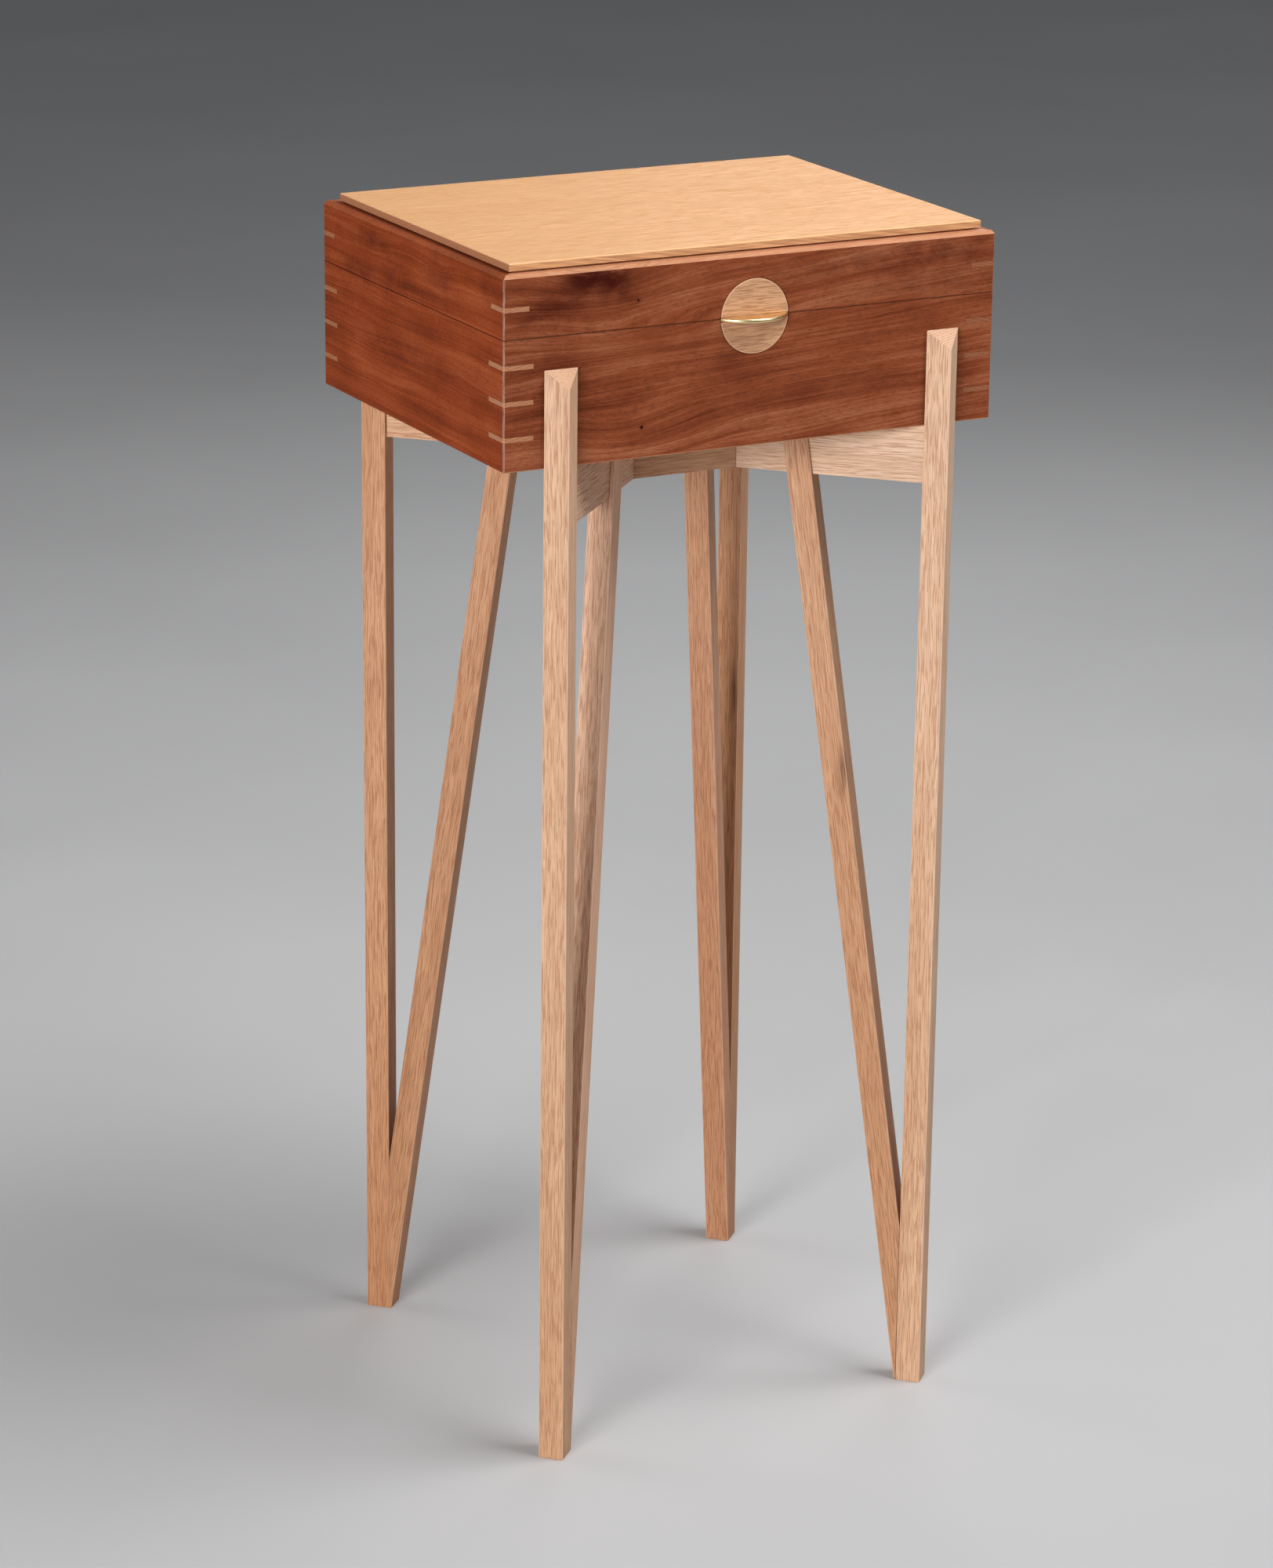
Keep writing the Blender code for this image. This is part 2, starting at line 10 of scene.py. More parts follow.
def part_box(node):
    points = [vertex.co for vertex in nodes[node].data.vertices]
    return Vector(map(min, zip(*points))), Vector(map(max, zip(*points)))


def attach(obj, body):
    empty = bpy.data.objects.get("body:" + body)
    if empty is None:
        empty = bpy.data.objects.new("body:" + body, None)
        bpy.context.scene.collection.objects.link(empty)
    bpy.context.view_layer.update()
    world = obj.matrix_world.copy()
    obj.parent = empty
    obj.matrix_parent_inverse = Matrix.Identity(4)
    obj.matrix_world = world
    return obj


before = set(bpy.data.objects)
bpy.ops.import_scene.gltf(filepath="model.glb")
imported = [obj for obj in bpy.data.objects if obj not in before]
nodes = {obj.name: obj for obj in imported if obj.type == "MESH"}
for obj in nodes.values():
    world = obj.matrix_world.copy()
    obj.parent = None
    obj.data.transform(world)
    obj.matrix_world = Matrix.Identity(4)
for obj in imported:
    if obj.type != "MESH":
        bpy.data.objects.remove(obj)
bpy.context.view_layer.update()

# Directions
UP = (0, 0, 1)
TO_RIGHT = (1, 0, 0)
TO_BACK = (0, 1, 0)
CORNERS = {
    "front_left": (-1, -1),
    "front_right": (1, -1),
    "back_right": (1, 1),
    "back_left": (-1, 1),
}
FLAT_SAWN = (-1, -1, 0)  # where the broad faces of the posts and braces turn
# Edges that get a painted highlight: the arrises of the posts and braces, and the rounded edges of the
# lid panel
ARRIS_HIGHLIGHTS = (TO_RIGHT, TO_BACK)
PANEL_ROUND_HIGHLIGHTS = ((0, -1, 1), (0, 1, 1), (-1, 0, 1), (1, 0, 1))

# Levels and sizes in metres
BASE_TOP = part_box("base_front")[1][2]
LID_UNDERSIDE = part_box("lid_front")[0][2]
SEAM_LEVEL = (BASE_TOP + LID_UNDERSIDE) / 2
SEAT_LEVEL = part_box("brace_front_left")[1][2]
DISC_RADIUS = (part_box("disc_upper")[1][0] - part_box("disc_upper")[0][0]) / 2
BRACE_RUN = 0.1087  # how far a brace leans in from the floor to the seat
NO_SHIFT = (0.0, 0.0, 0.0)

# Oak: each wood is its light colour, its deep colour and the colour of its pores
STAND_TONES = ((0.790, 0.505, 0.330), (0.690, 0.405, 0.245), (0.400, 0.175, 0.085))
BOTTOM_TONES = ((0.645, 0.360, 0.198), (0.565, 0.298, 0.158), (0.360, 0.162, 0.074))
DISC_TONES = ((0.665, 0.373, 0.209), (0.590, 0.311, 0.168), (0.310, 0.128, 0.058))
PANEL_TONES = ((0.842, 0.464, 0.222), (0.815, 0.438, 0.202), (0.670, 0.320, 0.128))
KEY_TONES = ((0.580, 0.270, 0.143), (0.530, 0.230, 0.118), (0.250, 0.090, 0.036))
FADED_TONES = ((0.480, 0.190, 0.086), (0.425, 0.158, 0.070), (0.220, 0.072, 0.026))
FAINT_TONES = ((0.430, 0.172, 0.084), (0.340, 0.118, 0.054), (0.180, 0.050, 0.019))
KEY_WOODS = {"front_right": FAINT_TONES, "back_left": FADED_TONES}

# Oak: noise per metre along and across the grain, and how much of each layer shows
SWAY = (3.5, 16.0, 16.0)
SWAY_REACH = (0.0, 0.011, 0.011)
ZONES = (2.4, 42.0, 42.0)
EDGE_STREAKS = (16.0, 1.0, 620.0)
EDGE_SLOPE = 0.16
FIBRE_SHARE = 0.40
PORE_SHARE = 0.62
RING_SHARE = 0.52
TREE_HEART = 0.11  # how far the middle of the rings lies from the board
BOARD_PORES = (52.0, 1400.0)
DISC_PORES = (70.0, 1250.0)
PANEL_PORES = (72.0, 720.0)
BOARD_RING = 0.0015
KEY_RING = 0.0021
PANEL_SIDE = (0.68, 0.61, 0.63)
PANEL_SAWN = (0.95, (0.300, 0.105, 0.048), (0.480, 0.205, 0.100))

# The stand's boards: tints of single boards, partly each board's own tone and partly painted light and
# shade for how the light falls on each piece, dark streaks in them, and steps from one to the next
PLAIN = (1.0, 1.0, 1.0)
BOARD_TINTS_AND_PAINTED_LIGHT = {
    "post_front_right": (1.05, 1.10, 1.16),
    "post_back_right": (0.84, 0.72, 0.62),
    "post_back_left": (0.88, 0.76, 0.67),
    "brace_front_left": (1.12, 1.12, 1.20),
    "brace_front_right": (0.89, 0.82, 0.77),
    "brace_back_right": (0.92, 0.80, 0.75),
    "brace_back_left": (0.81, 0.70, 0.62),
    "arm_front_left": (1.08, 1.10, 1.18),
    "arm_front_right": (1.08, 1.20, 1.34),
    "hub_front": (0.84, 0.81, 0.78),
}
MARKS = {
    "brace_front_right": ((0.1038, -0.1172, 0.496), 0.0038, 0.018),
    "post_back_right": ((0.1533, 0.1453, 0.480), 0.0035, 0.024),
}
# Painted shade: the stand darkens towards the floor, by this tint between these heights
FOOT_PAINTED_SHADE = (0.88, 0.81, 0.73)
FOOT_PAINTED_SHADE_LEVELS = (0.05, 0.70)
POST_CUT = (0.0, (0.37, 0.021, 0.013))
BRACE_CUT = (1.7, (0.29, 0.017, 0.008))
ARM_CUT = (3.1, (0.41, 0.011, 0.019))
HUB_CUT = (5.3, (0.23, 0.014, 0.009))
KEY_CUT = (0.0, (0.31, 0.02, 0.03))

# Walnut: its colours, noise per metre along, through and across the face, and the marks in the boards
HEART = (0.042, 0.003, 0.001)
# The walnut's colours come in two copies, one for the front and back and one for the left and right, each
# tuned to how the light falls on those faces: partly the wood's colour, partly painted light and shade
FRONT_BROWNS_WITH_PAINTED_LIGHT = ((0.122, 0.024, 0.008), (0.248, 0.060, 0.022), (0.385, 0.132, 0.062))
LEFT_BROWNS_WITH_PAINTED_LIGHT = ((0.134, 0.020, 0.003), (0.266, 0.044, 0.008), (0.392, 0.086, 0.025))
# Painted highlights: the pale colour of the upright arrises, and of the rims that turn up
ARRIS_HIGHLIGHT = (0.46, 0.30, 0.24)
RIM_HIGHLIGHT = (0.70, 0.33, 0.17)
LINES = (9.0, 200.0, 640.0)
BANDS = (3.0, 24.0, 95.0)
CLOUD = (18.0, 18.0, 30.0)
FINE_PORES = (230.0, 1100.0, 1300.0)
LINE_SHARE = 0.30
BAND_SHARE = 0.46
CLOUD_SHARE = 0.24
FRONT_FIGURES = (
    (-0.122, 0.912, 0.050, 0.032, 0.026, 0.0),
    (-0.134, 0.9010, 0.012, 0.0070, 0.0, 2.40),
    (-0.114, 0.8990, 0.007, 0.0060, 0.0, 2.40),
    (-0.147, 0.8920, 0.017, 0.0095, 0.0, 0.62),
    (-0.161, 0.8830, 0.017, 0.0085, 0.0, 0.46),
    (-0.175, 0.8745, 0.016, 0.0080, 0.0, 0.42),
    (-0.109, 0.8880, 0.013, 0.0110, 0.0, 0.60),
    (0.085, 0.8910, 0.080, 0.0090, 0.0, 0.26),
    (0.160, 0.8960, 0.050, 0.0130, 0.0, 0.34),
    (0.150, 0.8740, 0.060, 0.0070, 0.0, 0.30),
    (-0.168, 0.8330, 0.034, 0.0260, 0.0, 0.28),
    (-0.085, 0.8570, 0.085, 0.0120, 0.013, 0.0),
    (-0.100, 0.7850, 0.055, 0.0200, 0.010, 0.0),
)
FRONT_PINS = ((-0.0942, 0.8812, 0.0011), (-0.0906, 0.7889, 0.0015))
FRONT_FAN = (-0.124, 0.9160, 0.050, 0.50)
LEFT_FIGURES = (
    (-0.066, 0.8930, 0.026, 0.0070, 0.003, 0.52),
    (-0.088, 0.8660, 0.030, 0.0065, 0.0, 0.48),
    (-0.026, 0.8710, 0.020, 0.0130, 0.003, 0.28),
    (0.0495, 0.8890, 0.022, 0.0150, 0.003, 0.32),
    (0.1310, 0.8950, 0.024, 0.0120, 0.0, 0.24),
    (0.0100, 0.8200, 0.110, 0.0100, 0.0, 0.22),
)
# How strongly the rims that turn up get the painted highlight: strong on the front, slight on the other
# sides
FRONT_RIM_HIGHLIGHT = 0.65
OTHER_RIM_HIGHLIGHTS = 0.08

# Brass, from bright to tarnished, and the hinge screws
BRASSES = ((0.3, (0.98, 0.80, 0.48)), (0.55, (0.95, 0.73, 0.38)), (0.8, (0.78, 0.52, 0.21)))
SCREW_PROFILE = (
    (0.0, 0.00010),
    (0.0009, 0.00008),
    (0.0015, 0.00002),
    (0.0016, -0.00005),
    (0.0008, -0.0009),
    (0.0, -0.0009),
)
SCREW_SIDES = 24
SCREW_CREASE = math.radians(30)
SLOT_SIZE = (0.005, 0.0004, 0.0006)
SCREW_SPACING = 0.0125
SCREW_DEPTHS = {-1: 0.1505, 0: 0.1475, 1: 0.1505}
SCREW_TURN = 0.4
SCREW_TURN_PER_METRE = 37.0  # so that each slot points its own way

# Studio
FLOOR_SIZE = 20.0
FLOOR_LEVEL = -0.0002
FLOOR_GREYS = ((0.3, (0.58, 0.58, 0.585)), (0.7, (0.62, 0.62, 0.625)))
STAND_MIDDLE = (0.0, 0.0, 0.6)
BOX_MIDDLE = (0.0, 0.0, 0.85)
LAMPS = (
    # name, place, target, size, watts, spread in degrees
    ("top_light", (0.85, -0.75, 2.8), STAND_MIDDLE, 1.4, 53.0, 180.0),
    ("key_light", (-4.8, -3.65, 2.0), STAND_MIDDLE, 2.5, 41.0, 60.0),
    ("side_light", (2.3, -2.6, 1.2), BOX_MIDDLE, 0.8, 3.5, 180.0),
    ("back_left_light", (-1.8, 2.0, 1.9), STAND_MIDDLE, 1.4, 10.0, 180.0),
    ("back_right_light", (1.8, 2.0, 1.9), STAND_MIDDLE, 1.4, 12.0, 180.0),
)
SKY_COLOUR = (0.95, 0.97, 1.0)
SKY_LIGHT = 0.120
SKY_SEEN = 0.072
CAMERA_PLACE = (-1.62938, -3.08487, 1.58812)
CAMERA_YAW = math.radians(27.689)
CAMERA_PITCH = math.radians(17.850)
CAMERA_ROLL = math.radians(0.652)
CAMERA_LENS = 109.520
CAMERA_SENSOR = 36.0


def rgba(colour):
    return (*colour, 1.0)


def scaled(colour, by):
    return tuple(by * channel for channel in colour)


def turned(along, up):
    """The turn that carries one direction of the part to x and another to z."""
    x = Vector(along).normalized()
    y = Vector(up).cross(x).normalized()
    return Matrix((x, y, x.cross(y))).to_euler()


class Surface:
    """A material whose node tree is put together socket by socket."""

    def __init__(self, name, **constants):
        self.material = bpy.data.materials.new(name)
        self.material.use_nodes = True
        self.tree = self.material.node_tree
        self.shader = self.tree.nodes["Principled BSDF"]
        for socket, value in constants.items():
            self.shader.inputs[socket.replace("_", " ")].default_value = value

    def put(self, value, socket):
        if isinstance(value, bpy.types.NodeSocket):
            self.tree.links.new(value, socket)
        else:
            socket.default_value = value

    def add(self, kind, inputs, **settings):
        node = self.tree.nodes.new(kind)
        for key, value in settings.items():
            setattr(node, key, value)
        for key, value in inputs.items():
            self.put(value, node.inputs[key])
        return node

    def math(self, operation, *values):
        return self.add("ShaderNodeMath", dict(enumerate(values)), operation=operation).outputs[0]

    def vector(self, operation, *values):
        node = self.add("ShaderNodeVectorMath", dict(enumerate(values)), operation=operation)
        gives_number = operation in ("DOT_PRODUCT", "LENGTH", "DISTANCE")
        return node.outputs["Value" if gives_number else "Vector"]

    def total(self, values):
        result = values[0]
        for value in values[1:]:
            result = self.math("ADD", result, value)
        return result

    def squares(self, first, second):
        """The sum of two squares."""
        return self.total([self.math("MULTIPLY", value, value) for value in (first, second)])

    def fade(self, value):
        """1 where the value is 0, and ever nearer to 0 as it grows."""
        return self.math("EXPONENT", self.math("MULTIPLY", value, -1.0))

    def split(self, vector):
        return self.add("ShaderNodeSeparateXYZ", {0: vector}).outputs[:]

    def join(self, x, y, z):
        return self.add("ShaderNodeCombineXYZ", {0: x, 1: y, 2: z}).outputs[0]

    def ease(self, value, low, high, start=0.0, end=1.0):
        """Goes smoothly from start to end while the value goes from low to high."""
        inputs = {0: value, 1: low, 2: high, 3: start, 4: end}
        node = self.add("ShaderNodeMapRange", inputs, interpolation_type="SMOOTHSTEP")
        return node.outputs[0]

    def mix(self, factor, first, second):
        node = self.add("ShaderNodeMix", {0: factor, 6: first, 7: second}, data_type="RGBA")
        return node.outputs[2]

    def tint(self, factor, colour, by):
        inputs = {0: factor, 6: colour, 7: rgba(by)}
        node = self.add("ShaderNodeMix", inputs, data_type="RGBA", blend_type="MULTIPLY")
        return node.outputs[2]

    def ramp(self, value, *stops):
        node = self.add("ShaderNodeValToRGB", {0: value})
        elements = node.color_ramp.elements
        while len(elements) < len(stops):
            elements.new(0.5)
        for element, (place, colour) in zip(elements, stops):
            element.position = place
            element.color = rgba(colour)
        return node.outputs[0]

    def noise(self, vector, scale, detail=2.0, roughness=0.5, output=0):
        """Noise with its own scale along each axis, per metre."""
        stretched = self.vector("MULTIPLY", vector, scale)
        inputs = {"Vector": stretched, "Scale": 1.0, "Detail": detail, "Roughness": roughness}
        return self.add("ShaderNodeTexNoise", inputs).outputs[output]

    def place(self):
        return self.add("ShaderNodeTexCoord", {}).outputs["Object"]

    def facing(self, direction):
        """How far the face turns to a direction or away from it, from 0 to 1."""
        normal = self.add("ShaderNodeTexCoord", {}).outputs["Normal"]
        direction = Vector(direction).normalized()
        return self.math("ABSOLUTE", self.vector("DOT_PRODUCT", normal, tuple(direction)))

    def grain(self, along, up, shift):
        """Places in metres, with x along the grain."""
        inputs = {"Vector": self.place(), "Rotation": turned(along, up), "Location": shift}
        return self.add("ShaderNodeMapping", inputs).outputs[0]

    def finish(self, colour, roughness, height, depth, strength):
        self.put(colour, self.shader.inputs["Base Color"])
        self.put(roughness, self.shader.inputs["Roughness"])
        inputs = {"Height": height, "Distance": depth, "Strength": strength}
        bump = self.add("ShaderNodeBump", inputs)
        self.put(bump.outputs[0], self.shader.inputs["Normal"])
        return self.material


def dark_streak(s, colour, fine, dark, mark):
    middle, wide, tall = mark
    away = s.vector("SUBTRACT", s.place(), middle)
    away = s.vector("DIVIDE", away, (wide, wide, tall))
    near = s.fade(s.vector("DOT_PRODUCT", away, away))
    streaks = s.math("MULTIPLY", near, s.ease(fine, 0.40, 0.60, 0.45, 0.95))
    return s.mix(streaks, colour, rgba(scaled(dark, 0.35)))


def slanted_edges(s, colour, p, up, side):
    """Slanted streaks of a tint on faces that turn away from up."""
    x, z = s.split(p)[::2]
    slanted = s.join(x, 0.0, s.math("ADD", z, s.math("MULTIPLY", x, EDGE_SLOPE)))
    streaks = s.ease(s.noise(slanted, EDGE_STREAKS, 3.0), 0.38, 0.62, 0.25, 1.0)
    turned_away = s.ease(s.facing(up), 0.2, 0.6, 1.0, 0.0)
    return s.tint(s.math("MULTIPLY", turned_away, streaks), colour, side)


def end_rings(s, colour, q, fine, along, ring, sawn):
    """Year rings on the faces that the grain runs into."""
    strength, late, early = sawn
    y, z = s.split(q)[1:]
    reach = s.math("SQRT", s.squares(y, s.math("ADD", z, TREE_HEART)))
    phase = s.math("PINGPONG", s.math("DIVIDE", reach, ring), 0.5)
    wobble = s.math("MULTIPLY", s.math("SUBTRACT", fine, 0.5), 0.5)
    rings = s.mix(s.ease(s.math("ADD", phase, wobble), 0.05, 0.40), rgba(late), rgba(early))
    end = s.ease(s.facing(along), 0.45, 0.70)
    return s.mix(s.math("MULTIPLY", end, strength), colour, rings)


def painted_rim_highlight(s, colour, pale, disc):
    middle, radius = disc
    flat = s.vector("SUBTRACT", s.place(), (0.0, 0.0, middle))
    flat = s.vector("MULTIPLY", flat, (1.0, 0.0, 1.0))
    # painted highlight: a pale line just inside the rim of the disc
    line = s.ease(s.vector("LENGTH", flat), radius - 0.0010, radius - 0.0006, 0.0, 0.75)
    return s.mix(line, colour, pale)


def oak(
    name,
    along,
    up,
    shift,
    tones,
    ring=BOARD_RING,
    pores=BOARD_PORES,
    edges=(),
    disc=None,
    foot_shade=None,
    side=None,
    sawn=None,
    mark=None,
):
    """Ring-porous wood: long pores on the broad face, calmer edges, rings on the end grain.

    tones are the light wood, the deep wood and the pores; pores are how many fit in a metre along
    and across the grain. Faces that turn to one of the edges get a painted highlight, and so does the
    rim of a disc, given as its height and its radius. Towards the floor the wood is darkened by a
    painted shade, and on faces that turn away from up it takes on the side's tint. sawn is how
    strongly the rings show, and their dark and light wood. A mark is a dark streak: its place, half width
    and half height.
    """
    light, deep, dark = tones
    s = Surface(name, Specular_IOR_Level=0.22)
    p = s.grain(along, up, shift)
    sway = s.vector("SUBTRACT", s.noise(p, SWAY, output=1), (0.5, 0.5, 0.5))
    q = s.vector("ADD", p, s.vector("MULTIPLY", sway, SWAY_REACH))
    broad = s.ease(s.facing(up), 0.3, 0.85, 0.42, 1.0)
    length, width = pores
    coarse = s.noise(q, (length, width, width))
    fine = s.noise(q, (0.3 * length, 1.1 * width, 1.1 * width))
    open_pores = s.math("MULTIPLY", s.ease(coarse, 0.50, 0.60), broad)
    fibre = s.ease(fine, 0.44, 0.58)
    zones = s.noise(q, ZONES)
    colour = s.mix(s.ease(zones, 0.30, 0.70), rgba(light), rgba(deep))
    colour = s.mix(s.math("MULTIPLY", fibre, FIBRE_SHARE), colour, rgba(scaled(deep, 0.62)))
    colour = s.mix(s.math("MULTIPLY", open_pores, PORE_SHARE), colour, rgba(dark))
    if mark is not None:
        colour = dark_streak(s, colour, fine, dark, mark)
    if side is not None:
        colour = slanted_edges(s, colour, p, up, side)
    sawn = sawn or (RING_SHARE, dark, scaled(deep, 0.84))
    colour = end_rings(s, colour, q, fine, along, ring, sawn)
    # painted shade towards the floor
    if foot_shade is not None:
        level = s.split(s.place())[2]
        colour = s.tint(s.ease(level, *FOOT_PAINTED_SHADE_LEVELS, 1.0, 0.0), colour, foot_shade)
    # painted highlight on faces that turn to one of the edges, and on the rim of a disc
    pale = rgba(tuple(min(1.12 * channel + 0.03, 0.95) for channel in light))
    for edge in edges:
        colour = s.mix(s.ease(s.facing(edge), 0.93, 0.98, 0.0, 0.5), colour, pale)
    if disc is not None:
        colour = painted_rim_highlight(s, colour, pale, disc)
    rubbed = s.ease(fine, 0.3, 0.7, 0.44, 0.56)
    roughness = s.math("ADD", rubbed, s.math("MULTIPLY", open_pores, 0.2))
    height = s.math("SUBTRACT", s.math("MULTIPLY", fine, 0.3), open_pores)
    return s.finish(colour, roughness, height, 0.0004, 0.30)


def fan_wisps(s, x, z, fan):
    """Dark wisps that spread downwards from a knot."""
    at_x, at_z, reach, darkness = fan
    across = s.math("SUBTRACT", x, at_x)
    drop = s.math("SUBTRACT", at_z, z)
    far = s.math("SQRT", s.squares(across, drop))
    turn = s.math("ARCTAN2", across, drop)
    wisps = s.ease(s.noise(s.join(turn, far, 0.0), (2.3, 60.0, 1.0), 4.0, 0.6), 0.34, 0.72)
    return s.math("MULTIPLY", wisps, s.ease(far, 0.2 * reach, reach, darkness, 0.0))


def glue_line_and_gap_shade(s, colour, face, inlay):
    at_x, at_z, radius = inlay
    apart = s.vector("DISTANCE", face, (at_x, 0.0, at_z))
    # a dark glue line, and painted shade in the gap round the inlay
    line = s.ease(apart, radius + 0.0003, radius + 0.0010, 0.7, 0.0)
    return s.mix(line, colour, rgba(HEART))


def dark_pin(s, colour, face, dark, pin):
    at_x, at_z, radius = pin
    apart = s.vector("DISTANCE", face, (at_x, 0.0, at_z))
    dot = s.ease(apart, 0.6 * radius, radius, 1.0, 0.0)
    ring = s.ease(apart, radius, 3.0 * radius, 0.45, 0.0)
    colour = s.mix(ring, colour, rgba(dark))
    return s.mix(dot, colour, rgba(scaled(HEART, 0.4)))


def painted_edge_highlights(s, colour, p, lines, rim):
    """Painted highlights: pale patchy lines on the upright arrises, and as much as rim says on faces that
    turn up.
    """
    upright = s.math("MULTIPLY", s.facing(TO_RIGHT), s.facing(TO_BACK))
    patchy = s.ease(s.noise(p, (60.0, 60.0, 60.0), 3.0), 0.35, 0.6, 0.35, 0.8)
    # painted highlight on the upright arrises, broken up by noise
    arris_highlight = s.math("MULTIPLY", s.ease(upright, 0.2, 0.4), patchy)
    colour = s.mix(arris_highlight, colour, rgba(ARRIS_HIGHLIGHT))
    # painted highlight on faces that turn up
    level = s.ease(s.facing(UP), 0.4, 0.65, 0.0, rim)
    rubbed = s.math("MULTIPLY", level, s.ease(lines, 0.3, 0.7, 1.15, 0.75))
    return s.mix(rubbed, colour, rgba(RIM_HIGHLIGHT))


def walnut(name, along, shift, slope, browns, rim, figures=(), pins=(), fan=None, inlay=None):
    """Red-brown wood with fine streaks and soft patches. A figure bends the streaks, and darkens them.

    Figures are (x, z, half width, half height, bend, darkness), pins are (x, z, radius), a fan of dark
    wisps is (x, z, reach, darkness), and a round inlay, which has a dark glue line and painted shade in
    the gap round it, is (x, z, radius), all on the face, with x along the grain.
    """
    dark, middle, pale = browns
    s = Surface(name, Specular_IOR_Level=0.10)
    p = s.grain(along, UP, NO_SHIFT)
    x, y, z = s.split(p)
    face = s.join(x, 0.0, z)
    level = s.math("ADD", z, s.math("MULTIPLY", x, slope))
    ragged = s.noise(p, (60.0, 40.0, 90.0), 4.0, 0.65)
    stains = []
    for at_x, at_z, wide, tall, bend, darkness in figures:
        across = s.math("DIVIDE", s.math("SUBTRACT", x, at_x), wide)
        over = s.math("DIVIDE", s.math("SUBTRACT", z, at_z), tall)
        near = s.fade(s.squares(across, over))
        if bend:
            level = s.math("ADD", level, s.math("MULTIPLY", near, bend))
        if darkness:
            patch = s.ease(ragged, 0.30, 0.70, 0.2 * darkness, 1.8 * darkness)
            stains.append(s.math("MULTIPLY", near, patch))
    if fan is not None:
        stains.append(fan_wisps(s, x, z, fan))
    moved = s.vector("ADD", s.join(x, y, level), shift)
    sway = s.math("SUBTRACT", s.noise(moved, (6.0, 9.0, 20.0)), 0.5)
    moved_x, moved_y, moved_z = s.split(moved)
    q = s.join(moved_x, moved_y, s.math("ADD", moved_z, s.math("MULTIPLY", sway, 0.013)))
    lines = s.noise(q, LINES, 3.0, 0.60)
    bands = s.noise(q, BANDS, 4.0, 0.6)
    cloud = s.noise(moved, CLOUD, 3.0, 0.55)
    layers = ((lines, LINE_SHARE), (bands, BAND_SHARE), (cloud, CLOUD_SHARE))
    value = s.total([s.math("MULTIPLY", layer, share) for layer, share in layers])
    colour = s.ramp(value, (0.36, dark), (0.50, middle), (0.64, pale))
    pores = s.ease(s.noise(q, FINE_PORES, 3.0, 0.7), 0.47, 0.66)
    colour = s.mix(s.math("MULTIPLY", pores, 0.42), colour, rgba(scaled(dark, 0.6)))
    if stains:
        colour = s.mix(s.fade(s.total(stains)), rgba(HEART), colour)
    if inlay is not None:
        colour = glue_line_and_gap_shade(s, colour, face, inlay)
    for pin in pins:
        colour = dark_pin(s, colour, face, dark, pin)
    colour = painted_edge_highlights(s, colour, p, lines, rim)
    # painted shade along the seam between lid and base
    from_seam = s.math("ABSOLUTE", s.math("SUBTRACT", z, SEAM_LEVEL))
    colour = s.mix(s.ease(from_seam, 0.0002, 0.0009, 0.5, 0.0), colour, rgba(HEART))
    rubbed = s.ease(lines, 0.3, 0.7, 0.40, 0.50)
    roughness = s.math("ADD", rubbed, s.math("MULTIPLY", pores, 0.16))
    height = s.math("SUBTRACT", s.math("MULTIPLY", lines, 0.25), pores)
    return s.finish(colour, roughness, height, 0.0003, 0.22)


def brass(name, smoothest, roughest):
    """Polished brass with fine rubbing marks and a little tarnish."""
    s = Surface(name, Metallic=1.0)
    p = s.grain(TO_RIGHT, UP, NO_SHIFT)
    tarnish = s.noise(p, (90.0, 90.0, 90.0), 4.0, 0.6)
    marks = s.noise(p, (60.0, 5000.0, 5000.0), 3.0, 0.6)
    colour = s.ramp(tarnish, *BRASSES)
    rubbed = s.ease(marks, 0.3, 0.7, smoothest, roughest)
    roughness = s.math("ADD", rubbed, s.ease(tarnish, 0.55, 0.8, 0.0, 0.12))
    return s.finish(colour, roughness, marks, 0.00005, 0.15)


def dress(names, material):
    for name in names:
        for slot in nodes[name].material_slots:
            slot.material = material


def cut_from(cut, i):
    """Where in the wood the board of a piece is cut from, so that no two are alike."""
    start, (along, across, through) = cut
    return (start + along * i, across * i, through * i)


def board(node, along, up, shift, edges=(), foot_shade=None):
    """A stand piece from its own board: boards differ a little in tone, and the tint also paints light
    and shade on some pieces.
    """
    # painted light and shade: the tint lightens or darkens a piece for how the light falls on it, on top
    # of its own tone
    tint = BOARD_TINTS_AND_PAINTED_LIGHT.get(node, PLAIN)
    tones = tuple(tuple(c * t for c, t in zip(tone, tint)) for tone in STAND_TONES)
    mark = MARKS.get(node)
    dress([node], oak(node + "_oak", along, up, shift, tones, edges=edges, foot_shade=foot_shade, mark=mark))


def dress_stand():
    """The grain runs along each piece."""
    for i, (corner, (across, along)) in enumerate(CORNERS.items()):
        out = Vector((across, along, 0)).normalized()
        lean = Vector(UP) - out * BRACE_RUN / SEAT_LEVEL
        board("post_" + corner, UP, FLAT_SAWN, cut_from(POST_CUT, i), ARRIS_HIGHLIGHTS, FOOT_PAINTED_SHADE)
        board("brace_" + corner, lean, FLAT_SAWN, cut_from(BRACE_CUT, i), ARRIS_HIGHLIGHTS, FOOT_PAINTED_SHADE)
        board("arm_" + corner, out, out.cross(Vector(UP)), cut_from(ARM_CUT, i))
    for i, side in enumerate(("front", "right", "back", "left")):
        along, face = (TO_RIGHT, TO_BACK) if side in ("front", "back") else (TO_BACK, TO_RIGHT)
        board("hub_" + side, along, face, cut_from(HUB_CUT, i))


